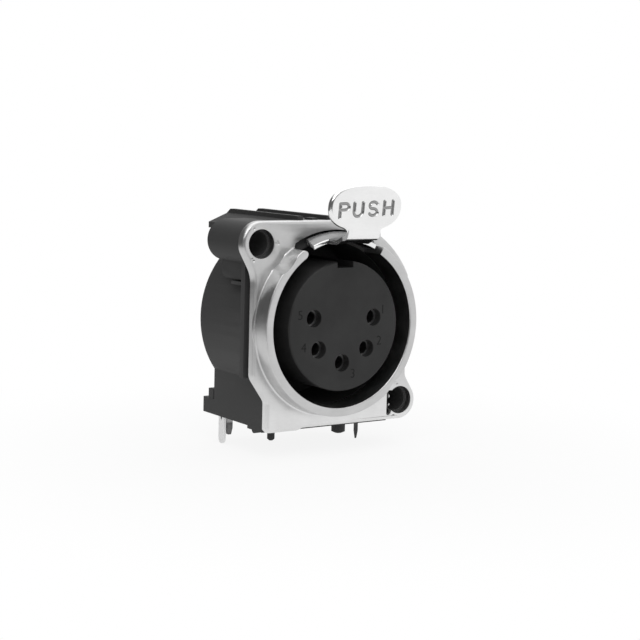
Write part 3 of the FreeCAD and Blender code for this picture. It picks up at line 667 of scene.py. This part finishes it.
@dataclass
class FacePlate:
    """Plate and collar of plated metal."""

    thickness: float = 1.1
    edge_round: float = 0.45
    back_ease: float = 0.15
    hole_ease: float = 0.07
    half_width: float = 11.0
    top: float = 12.25
    bottom: float = 12.15
    corner_r: float = 12.28
    foot_left: float = 9.0
    foot_right: float = 3.9
    foot_depth: float = 0.25
    left_lobe_r: float = 2.52
    right_lobe_r: float = 2.40
    hole_r: float = 1.67
    left_hole: tuple[float, float] = (-10.15, 9.65)
    right_hole: tuple[float, float] = (10.10, -9.80)
    slot: tuple[float, float, float, float] = (8.20, 8.95, -11.55, -8.55)
    window_r: float = 11.10
    window_half_deg: float = 31.5
    window_corner: float = 0.3
    hidden_r: float = 10.2
    bore_r: float = 9.65
    collar_front: float = -2.2
    collar_wall: float = 1.05
    collar_flare: float = 0.10
    collar_fillet: float = 0.22
    lip_r: float = 0.17
    square_r: float = 0.16
    end_share: float = 0.055
    gap_half_deg: float = 31.0
    scoop_r: float = 3.35
    scoop_taper: float = 0.35
    dimple_r: float = 0.30
    dimple_depth: float = 0.12
    dimple_circle_r: float = 2.15

    def outline(self) -> Array:
        """Outer edge of the plate: two lobes, a corner that follows the bore, a foot at the lower left."""
        half, top, low = self.half_width, self.top, -self.bottom
        foot = low - self.foot_depth
        (left_x, left_z), (right_x, right_z) = self.left_hole, self.right_hole
        lobe_left, lobe_right = left_x - self.left_lobe_r, right_x + self.right_lobe_r
        low_z, top_x = (math.sqrt(self.corner_r ** 2 - side ** 2) for side in (half, top))
        loop = rounded([
            (lobe_left, top, self.left_lobe_r), (top_x, top, 0.02), (half, low_z, 0.02),
            (half, right_z + 2.95, 1.2), (lobe_right, right_z + 0.55, 2.2), (lobe_right, low, 2.2),
            (-self.foot_right, low, 1.0), (-self.foot_right - 0.6, foot, 1.0),
            (-self.foot_left, foot, 0.6), (-self.foot_left, -8.7, 1.0), (-half, -5.8, 1.5),
            (-half, left_z - 3.6, 3.5), (lobe_left, left_z - 0.6, 2.2),
        ])
        start = np.argmin(np.hypot(loop[:, 0] - top_x, loop[:, 1] - top))
        end = np.argmin(np.hypot(loop[:, 0] - half, loop[:, 1] - low_z))
        turns = math.degrees(math.atan2(top, top_x)), math.degrees(math.atan2(low_z, half))
        return np.concatenate([loop[:start], arc(0, 0, self.corner_r, *turns, 34), loop[end + 1:]])

    def window(self) -> Array:
        """Bore with the arched latch window at its top, its inner part under the collar."""
        half = self.window_half_deg
        swing = math.degrees(self.window_corner / self.window_r)
        side_r = self.window_r - self.window_corner
        left, right = (arc(0, 0, side_r, 90 + turn, 90 + turn, 1) for turn in (half, -half))
        outer = arc(0, 0, self.window_r, 90 + half - swing, 90 - half + swing, 40)
        inner = arc(0, 0, self.hidden_r, 90 - half, 90 - 360 + half, 150)
        return np.concatenate([left, outer, right, inner])

    def lower_hole(self) -> Array:
        """Right screw hole, open at its left into the prongs' slot (left, right, bottom, top)."""
        x, z = self.right_hole
        left, right, low, top = self.slot
        reach = math.degrees(math.acos((right - x) / self.hole_r))
        corners = [
            (right - 0.22, low + 0.12), (right - 0.38, low), (left + 0.12, low), (left, low + 0.14),
            (left, top - 0.14), (left + 0.12, top), (right - 0.10, top),
        ]
        return np.concatenate([arc(x, z, self.hole_r, reach, -reach, 52), corners])

    def dimples(self) -> list[Array]:
        """Loops of the small press marks round the two screw holes."""
        turns = {self.left_hole: (122, 2, 238), self.right_hole: (105, 248)}
        reach = self.dimple_circle_r
        spots = [arc(*hole, reach, turn, turn, 1)[0] for hole in turns for turn in turns[hole]]
        return [circle(*spot, self.dimple_r, 20) for spot in spots]

    def plate(self, shell: Shell) -> None:
        """Adds the plate: rounded rim, eased holes, press marks and both faces."""
        outline = self.outline()
        ease, back = self.hole_ease, self.back_ease
        holes = [self.window(), circle(*self.left_hole, self.hole_r), self.lower_hole()]
        profile = [(back, self.thickness), (0.0, self.thickness - back), *quarter(self.edge_round)]
        shell.rim(outline, profile)
        wall = [(-ease, 0.0), (-0.3 * ease, 0.3 * ease), (0.0, ease), (0.0, self.thickness)]
        for hole in holes:
            shell.rim(hole, wall)
        marks = self.dimples()
        share = np.linspace(1, 0.02, 6)
        bowl = np.column_stack([self.dimple_r * (1 - share), self.dimple_depth * (1 - share ** 2)])
        for mark in marks:
            shell.rim(mark, bowl)
            shell.sheet([offset(mark, self.dimple_r * 0.98)], on_front(self.dimple_depth))
        front = [offset(outline, self.edge_round)] + [offset(hole, -ease) for hole in holes] + marks
        shell.sheet(front, on_front(0.0))
        shell.sheet([offset(outline, back)] + holes, on_front(self.thickness))

    def scoop_limit(self, turn: Array, y: Array, hole: tuple[float, float]) -> Array:
        """Radius at which a ray from the bore axis meets the driver scoop round a screw hole.

        The nearer crossing of the ray with the circle is c.d - sqrt((c.d)^2 - c^2 + r^2).

        Args:
            turn: Ray angles from the top, positive to the right.
            y: Depth, which sets the scoop's radius.
            hole: Centre of the screw hole.

        Returns:
            The limit, very large where the ray misses.
        """
        share = np.clip(y / self.collar_front, 0, 1)
        radius = self.scoop_r + self.scoop_taper * share
        along = hole[0] * np.sin(turn) + hole[1] * np.cos(turn)
        inner = along ** 2 - hole[0] ** 2 - hole[1] ** 2 + radius ** 2
        near = along - np.sqrt(np.clip(inner, 0, None))
        return np.where((inner > 0) & (along > 0), near, 1e3)

    def collar_width(self, along: Array, end: CollarEnd) -> Array:
        """Half width of the collar near an end of its gap.

        Args:
            along: Distance from the end.
            end: Which form the end has.

        Returns:
            Half the radial width.
        """
        half = self.collar_wall / 2
        r = half if end is CollarEnd.NOSE else self.square_r
        short = np.clip(r - along, 0, r)
        return half - r + np.sqrt(np.clip(r ** 2 - short ** 2, 0, None))

    def collar(self, shell: Shell) -> None:
        """Adds the collar: a lipped profile carried round the bore, narrowed at the gap and the scoops.

        Near the gap's ends each point's radius is drawn towards the middle.
        """
        bore, wall, front = self.bore_r, self.collar_wall, self.collar_front
        outer = bore + wall
        lip, fillet = self.lip_r, self.collar_fillet
        base_r = outer + self.collar_flare
        profile = np.concatenate([
            [[bore, self.thickness]],
            arc(bore + lip, front + lip, lip, 180, 270, 6),
            arc(outer - lip, front + lip, lip, 270, 360, 6),
            arc(base_r + fillet, -fillet, fillet, 180, 90, 6),
            [[base_r + fillet, 0.3], [base_r, self.thickness]],
        ])
        start = math.radians(self.gap_half_deg)
        span = 2 * np.pi - 2 * start
        even = np.linspace(0, 1, 420)
        even = even[(even > self.end_share) & (even < 1 - self.end_share)]
        near = self.end_share * (1 - np.cos(np.linspace(0, np.pi / 2, 14)))
        share = np.unique(np.concatenate([even, near, 1 - near]))
        angle = start + span * share
        middle = bore + wall / 2
        right = self.collar_width(span * share * middle, CollarEnd.SQUARE)
        left = self.collar_width(span * (1 - share) * middle, CollarEnd.NOSE)
        factor = np.minimum(right, left) / (wall / 2)
        radius = middle + (profile[None, :, 0] - middle) * factor[:, None]
        depth = profile[None, :, 1]
        for hole in (self.left_hole, self.right_hole):
            limit = self.scoop_limit(angle[:, None], depth, hole)
            radius = np.where(depth < 0.05, np.minimum(radius, limit), radius)
        shell.sweep(radius, angle[:, None], depth, middle)

    def build(self) -> None:
        """Builds and dresses the plate with its collar."""
        shell = Shell()
        self.plate(shell)
        self.collar(shell)
        piece = shell.build("face_plate", 28.0)
        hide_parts("front_plate")
        finish_piece(piece, PLATE_FINISH, Body.SOCKET)


@dataclass
class Latch:
    """Sprung sheet lever with the push tab, its word, the arched wing and the arm."""

    thickness: float = 0.5
    wing_inner: float = 9.90
    wing_half_deg: float = 25.5
    wing_front: float = -2.0
    wing_rear: float = 0.6
    wing_ease: float = 0.10
    wing_lap: float = 0.005
    end_slant_deg: float = 3.5
    end_rag_deg: float = 1.0
    rag_waves: float = 9.0
    neck_half: float = 2.22
    bend_r: float = 0.5
    bend_y: float = -4.81
    bend_z: float = 11.2
    tab_half_width: float = 5.03
    tab_centre_z: float = 14.1
    tab_top_half: float = 2.5
    tab_low_half: float = 2.75
    roundness: float = 2.4
    edge_round: float = 0.40
    back_round: float = 0.08
    letter_x: tuple[float, float, float, float] = (-3.66, -1.73, 0.96, 2.44)
    letter_low: float = 13.10
    letter_high: float = 14.64
    letter_wide: float = 1.18
    letter_depth: float = 0.15
    letter_half: float = 0.25
    letter_wall: float = 0.22
    word_slope: float = 0.043
    top_rise: float = 0.55
    rise_from: float = -2.3
    rise_run: float = 2.0
    rise_end: float = -0.09
    arch_run: float = 1.5
    web_lap: float = 0.003
    arm_edge: float = 0.05
    arm_from: float = 1.45
    splice: float = 0.45

    def rise(self, y: Array) -> Array:
        """How far the sheet's top stands proud, by a smooth step, and not inside the window."""
        return np.where(y < self.rise_end, self.top_rise * eased((y - self.rise_from) / self.rise_run), 0.0)

    def face_y(self, z: Array) -> Array:
        """Front face of the leaning tab."""
        return TAB_FOOT[0] - TAB_LEAN * (z - TAB_FOOT[1])

    def outline(self) -> Array:
        """Tab and neck in front view: a superellipse with round inner corners on the neck."""
        power = self.roundness
        foot_z = TAB_FOOT[1]
        shoulder_x = self.neck_half + 0.9
        out = (shoulder_x / self.tab_half_width) ** power
        low = self.tab_centre_z - self.tab_low_half * (1 - out) ** (1 / power)
        start = -math.acos(math.sqrt(out))
        turn = np.linspace(start, np.pi / 2, 60)
        x = self.tab_half_width * np.abs(np.cos(turn)) ** (2 / power)
        rise = np.where(turn > 0, self.tab_top_half, self.tab_low_half)
        z = self.tab_centre_z + np.sign(turn) * rise * np.abs(np.sin(turn)) ** (2 / power)
        hip = np.array([self.neck_half, foot_z + 0.45])
        shoulder = np.array([shoulder_x, low])
        pull = np.array([self.neck_half + 0.08, low - 0.22])
        share = np.linspace(0, 1, 9)[:-1, None]
        curve = (1 - share) ** 2 * hip + 2 * share * (1 - share) * pull + share ** 2 * shoulder
        right = np.concatenate([[[self.neck_half, foot_z + 0.10]], curve, np.column_stack([x, z])])
        left = right[::-1] * [-1, 1]
        return np.concatenate([right[:-1], left[1:]])

    def strokes(self) -> list[Array]:
        """Centre lines of the four letters of the pressed word, in (x, z), sheared by its slope."""
        low, high, wide = self.letter_low, self.letter_high, self.letter_wide
        mid = (low + high) / 2 + 0.06
        bowl = (high - mid) / 2
        p_x, u_x, s_x, h_x = self.letter_x
        letter_p = np.concatenate([
            [[p_x, low], [p_x, high], [p_x + wide - bowl, high]],
            arc(p_x + wide - bowl, high - bowl, bowl, 90, -90, 10),
            [[p_x, mid]],
        ])
        u_r = wide / 2
        u_bend = arc(u_x + u_r, low + u_r, u_r, 180, 360, 14)
        letter_u = np.concatenate([[[u_x, high]], u_bend, [[u_x + wide, high]]])
        s_r = (high - low) / 4
        s_mid = (low + high) / 2
        bends = np.concatenate([arc(0, s_r, s_r, 25, 270, 14), arc(0, -s_r, s_r, 90, -155, 14)])
        letter_s = bends * [1.40, 1.0] + [s_x, s_mid]
        h_end = h_x + wide
        bars = [[[h_x, low], [h_x, high]], [[h_x, s_mid], [h_end, s_mid]], [[h_end, low], [h_end, high]]]
        slope = np.array([[1.0, self.word_slope], [0.0, 1.0]])
        return [line @ slope for line in [letter_p, letter_u, letter_s, *map(np.array, bars)]]

    def letter_press(self, x: Array, z: Array) -> Array:
        """Depth of the pressed word at each point.

        Each stroke is a groove whose wall is a smooth step of the distance from its middle line.

        Args:
            x: Places across the tab.
            z: Places up the tab.

        Returns:
            Depth in millimetres, zero away from the letters.
        """
        points = np.stack([x.ravel(), z.ravel()], axis=-1)[:, None, :]
        nearest = np.full(len(points), 1e3)
        for line in self.strokes():
            a, b = line[None, :-1], line[None, 1:]
            run = b - a
            length = np.sum(run * run, axis=-1) + 1e-12
            share = np.clip(np.sum((points - a) * run, axis=-1) / length, 0, 1)
            gap = np.linalg.norm(points - a - share[..., None] * run, axis=-1)
            nearest = np.minimum(nearest, gap.min(axis=1))
        depth = self.letter_depth * eased((self.letter_half - nearest) / self.letter_wall)
        return depth.reshape(x.shape)

    def tab(self, shell: Shell) -> None:
        """Adds the tab: rounded rim, pressed front, plain back."""
        outline = self.outline()
        r = self.edge_round
        t = self.thickness * math.hypot(1, TAB_LEAN)

        def lifted(depth: float) -> Lift:
            """Takes (x, z) points to a depth behind the leaning face."""
            return lambda flat: places(flat[:, 0], self.face_y(flat[:, 1]) + depth, flat[:, 1])

        b = self.back_round
        steps = [(b, t), (0.29 * b, t - 0.29 * b), (0.0, t - b), *quarter(r, 10)]
        shell.rim(outline, steps, lifted)
        half, low, high = WORD_BOX
        x, z = np.meshgrid(np.linspace(-half, half, 320), np.linspace(low, high, 104))
        field = np.stack([x, z], axis=-1)
        field_edge = np.concatenate([field[0], field[1:-1, -1], field[-1, ::-1], field[-2:0:-1, 0]])
        shell.sheet([offset(outline, r), field_edge], lifted(0.0))
        shell.grid(places(x, self.face_y(z) + self.letter_press(x, z), z))
        shell.sheet([offset(outline, b)], lifted(t))

    def web(self, shell: Shell) -> None:
        """Adds the web and bend: an arched strip that flattens and turns up into the tab.

        The centre line runs forward, then round the bend and a little way up the tab; across
        the strip the height drops as the wing's circle does, less and less towards the bend.
        """
        half_t = self.thickness / 2 + self.web_lap
        mid_r = self.wing_inner + self.thickness / 2
        lean = math.atan(TAB_LEAN)
        run = np.concatenate([np.linspace(1.9, -0.07, 8), np.linspace(-0.10, self.bend_y, 26)])
        swing = np.linspace(0, np.pi / 2 - lean, 12)
        bend_mid = self.bend_r + self.thickness / 2
        flat_z = self.bend_z - bend_mid
        turn = np.append(swing[1:], swing[-1])
        cos, sin = np.cos(turn), np.sin(turn)
        past = np.where(np.arange(len(turn)) == len(turn) - 1, self.splice, 0.0)
        path_y = np.concatenate([run, self.bend_y - bend_mid * sin - past * math.sin(lean)])
        bend_up = self.bend_z - bend_mid * cos + past * math.cos(lean)
        path_z = np.concatenate([np.full(len(run), flat_z), bend_up])
        half_y = half_t * np.concatenate([np.zeros(len(run)), sin])[:, None]
        half_z = half_t * np.concatenate([np.ones(len(run)), cos])[:, None]
        x, y = np.linspace(-1, 1, 25) * self.neck_half, path_y[:, None]
        arch = eased((y - self.bend_y) / self.arch_run)
        z = path_z[:, None] + (np.sqrt(mid_r ** 2 - x ** 2) - flat_z) * arch
        low, high = places(x, y - half_y, z - half_z), places(x, y + half_y, z + half_z + self.rise(y))
        ring = np.concatenate([low, high[:, ::-1]], axis=1)
        shell.grid(ring, around=True)
        for row in (0, -1):
            shell.grid(np.stack([low[row], high[row]]))

    def wing(self, shell: Shell) -> None:
        """Adds the arched wing that fills the collar's gap, with eased edges.

        Its left end is torn: its angle moves inward by a slant and by a squared sine of the
        depth, and the cube of the way to the left end fades both out.
        """
        inner, outer = self.wing_inner + self.wing_lap, self.wing_inner + self.thickness - self.wing_lap
        turn = np.radians(np.linspace(-self.wing_half_deg, self.wing_half_deg, 61))
        front, rear, ease = self.wing_front, self.wing_rear, self.wing_ease
        slope = np.linspace(front + ease, -0.10, 12)
        profile = np.concatenate([
            [(inner, rear), (inner, front + 2 * ease), (inner + 0.3 * ease, front + 0.6 * ease),
             (inner + ease, front), (outer - ease, front), (outer - 0.3 * ease, front + 0.3 * ease)],
            np.column_stack([outer + self.rise(slope), slope]), [(outer, -0.08), (outer, rear)],
        ])
        radius, depth = profile.T
        cut = np.clip((depth - front) / (rear - front), 0, 1)
        torn = np.radians(self.end_slant_deg * cut + self.end_rag_deg * np.sin(depth * self.rag_waves) ** 2)
        left_share = np.linspace(1, 0, len(turn))[:, None] ** 3
        shell.sweep(radius, turn[:, None] + torn * left_share, depth, (inner + outer) / 2)

    def build(self) -> None:
        """Builds and dresses the lever; its arm and knuckle are the softened node."""
        shell = Shell()
        self.tab(shell)
        self.web(shell)
        self.wing(shell)
        front = shell.build("latch_front", 34.0)
        finish_piece(front, LATCH_FINISH, Body.LATCH)
        rear = softened("latch_lever", "latch_arm", self.arm_edge)
        work = bmesh.new()
        work.from_mesh(rear.data)
        everything = work.verts[:] + work.edges[:] + work.faces[:]
        cut = bmesh.ops.bisect_plane(work, geom=everything, plane_co=(0, self.arm_from * MM, 0),
                                     plane_no=(0, -1, 0), clear_outer=True)
        edges = [e for e in cut["geom_cut"] if isinstance(e, bmesh.types.BMEdge)]
        bmesh.ops.holes_fill(work, edges=edges)
        work.to_mesh(rear.data)
        work.free()
        finish_piece(rear, LATCH_FINISH, Body.LATCH)
        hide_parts("latch_lever")


@dataclass
class Mouldings:
    """Black housing and rear cover, and the dark insert with its engraved numbers."""

    edge: float = 0.10
    insert_edge: float = 0.06
    number_height: float = 1.15
    face_y: float = -2.2

    def numbers(self) -> None:
        """Adds the contact numbers as thin dark figures on the insert's face, painted shade for their
        engraving.
        """
        spots = {
            "5": (-6.10, 1.50), "1": (5.54, 1.72), "2": (5.12, -1.98),
            "4": (-5.53, -2.29), "3": (1.44, -5.70),
        }
        for word, (x, z) in spots.items():
            figure = bpy.data.curves.new("number_" + word, "FONT")
            figure.body = word
            figure.size = self.number_height * 1.35 * MM
            figure.align_x = figure.align_y = "CENTER"
            figure.offset = -0.02 * MM
            figure.extrude = 0.012 * MM
            made = add_object("text_" + word, figure)
            bpy.context.view_layer.update()
            mesh = bpy.data.meshes.new_from_object(made)
            bpy.data.objects.remove(made)
            mesh.transform(Matrix.Rotation(math.pi / 2, 4, "X"))
            mesh.transform(Matrix.Translation(Vector((x, self.face_y - 0.006, z)) * MM))
            finish_piece(add_object("number_" + word, mesh), NUMBER_FINISH, Body.SOCKET)

    def build(self) -> None:
        """Builds and dresses the mouldings."""
        soft_pieces([
            ("housing", "housing_shell", self.edge, BLACK_FINISH, "black_moulding"),
            ("rear_cover", "cover_shell", self.edge, BLACK_FINISH, "black_moulding"),
            ("contact_insert", "insert_block", self.insert_edge, INSERT_FINISH, "dark_insert"),
        ])
        self.numbers()


@dataclass
class Conductors:
    """Contacts, earthing pieces and the small steel parts of the latch."""

    edge: float = 0.05
    leaf_edge: float = 0.02

    def build(self) -> None:
        """Builds and dresses the small metal pieces."""
        sleeve = self.edge, CONTACT_FINISH, "contact_metal"
        soft_pieces([
            *(("contact_%d" % number, "sleeve_%d" % number, *sleeve) for number in range(1, 6)),
            ("shell_ground_spring", "ground_leaf", self.edge, STRIP_FINISH, "tinned_strip"),
            ("panel_ground_clip", "ground_prongs", self.edge, CLIP_FINISH, "tinned_strip"),
            ("latch_pin", "pivot_pin", self.edge, STEEL_FINISH, "spring_steel"),
            ("latch_spring", "return_leaf", self.leaf_edge, STEEL_FINISH, "spring_steel"),
        ])


@dataclass
class Studio:
    """Camera at the photograph's angle, soft lamps, pale floor and white background."""

    azimuth_deg: float = 34.13
    elevation_deg: float = 6.99
    roll_deg: float = 1.43
    distance: float = 185.48
    shift_right: float = -1.56
    shift_up: float = 0.48
    focal_px: float = 1575.07
    picture_px: float = 640.0
    sensor_mm: float = 36.0
    floor_z: float = -15.66
    world_grey: float = 0.50
    dim_grey: float = 0.12
    white_right: tuple[float, float] = (-0.1, 0.45)
    white_ahead: tuple[float, float] = (0.74, 0.93)
    white_high: tuple[float, float] = (0.60, 0.90)
    floor_half: float = 90.0
    key_watts: float = 1.6
    top_watts: float = 0.9

    def camera(self) -> None:
        """Places the camera by the angles fitted to the photograph's round edges."""
        a, e, roll = (math.radians(v) for v in (self.azimuth_deg, self.elevation_deg, self.roll_deg))
        back = Vector((-math.sin(a) * math.cos(e), -math.cos(a) * math.cos(e), math.sin(e)))
        right = Vector((math.cos(a), -math.sin(a), 0.0))
        up = back.cross(right)
        cos, sin = math.cos(roll), math.sin(roll)
        right, up = cos * right + sin * up, cos * up - sin * right
        centre = self.shift_right * right + self.shift_up * up + self.distance * back
        data = bpy.data.cameras.new("camera")
        data.sensor_fit = "HORIZONTAL"
        data.sensor_width = self.sensor_mm
        data.lens = self.sensor_mm * self.focal_px / self.picture_px
        data.clip_start = 0.001
        data.clip_end = 20.0
        eye = add_object("camera", data)
        basis = Matrix((right, up, back)).transposed().to_4x4()
        eye.matrix_world = Matrix.Translation(centre * MM) @ basis
        bpy.context.scene.camera = eye

    def lamp(self, name: str, place: tuple[float, float, float], size: float, watts: float) -> None:
        """Adds a square soft lamp, in metres, that faces the object."""
        data = bpy.data.lights.new(name, "AREA")
        data.shape = "SQUARE"
        data.size = size
        data.energy = watts
        lamp = add_object(name, data)
        lamp.location = place
        lamp.rotation_euler = (-Vector(place)).to_track_quat("-Z", "Y").to_euler()

    def floor(self) -> None:
        """Adds the pale floor, white to the camera away from the object's shadow."""
        shell = Shell()
        side = np.array([-self.floor_half, self.floor_half])
        shell.grid(places(side, side[:, None], self.floor_z))
        floor = shell.build("floor")
        bench = Dress("floor_paper")
        fine = bench.noise(3.0, 3.0)
        paper = bench.blend(fine, grey(0.86), grey(0.90))
        bench.set(Base_Color=paper, Roughness=0.9, Specular_IOR_Level=0.1)
        glow = bench.node("ShaderNodeEmission", {}, {"Color": (1, 1, 1, 1), "Strength": 1.0})
        away = (bench.axis("X") ** 2.0 + bench.axis("Y") ** 2.0) ** 0.5
        share = bench.seen() * (0.88 + away.step(16.0, 60.0) * 0.12)
        paper_light = Socket(bench, bench.shader.outputs[0])
        mixed = bench.node("ShaderNodeMixShader", {}, {0: share, 1: paper_light, 2: glow})
        bench.tree.links.new(mixed.link, bench.out.inputs[0])
        floor.data.materials.append(bench.material)

    def world(self) -> None:
        """Sets an even grey surround for light, a white background and the room that metal shows.

        The room is dim at the left and behind the camera, for polished edges to show something
        dark, and white elsewhere.
        """
        world = bpy.data.worlds.new("surround")
        world.use_nodes = True
        bench = Bench(world.node_tree)
        x, y, z = (bench.node("ShaderNodeSeparateXYZ", {}, {0: bench.place()}, letter) for letter in "XYZ")
        azimuth = math.radians(self.azimuth_deg)
        ahead = (x * math.sin(azimuth) + y * math.cos(azimuth)).step(*self.white_ahead)
        white = ahead.most(x.step(*self.white_right)).most(z.size().step(*self.white_high))
        level = (self.dim_grey + white * (1 - self.dim_grey)).most(bench.ray("Camera"))
        light, room = (
            bench.node("ShaderNodeBackground", {}, {"Color": (1, 1, 1, 1), "Strength": strength})
            for strength in (self.world_grey, level)
        )
        mixed = bench.node("ShaderNodeMixShader", {}, {0: bench.seen(), 1: light, 2: room})
        out = bench.tree.nodes.new("ShaderNodeOutputWorld")
        bench.tree.links.new(mixed.link, out.inputs[0])
        bpy.context.scene.world = world

    def build(self) -> None:
        """Builds the whole set."""
        bpy.context.scene.view_settings.view_transform = "Standard"
        self.camera()
        self.floor()
        self.world()
        self.lamp("key", (-0.28, -0.40, 0.42), 0.50, self.key_watts)
        self.lamp("top", (0.10, 0.15, 0.55), 0.60, self.top_watts)


def main() -> None:
    """Builds the studio and the socket."""
    logging.basicConfig(level=logging.INFO, format="%(name)s %(message)s")
    Studio().build()
    FacePlate().build()
    Latch().build()
    Mouldings().build()
    Conductors().build()
    bpy.context.view_layer.update()


if __name__ == "__main__":
    main()
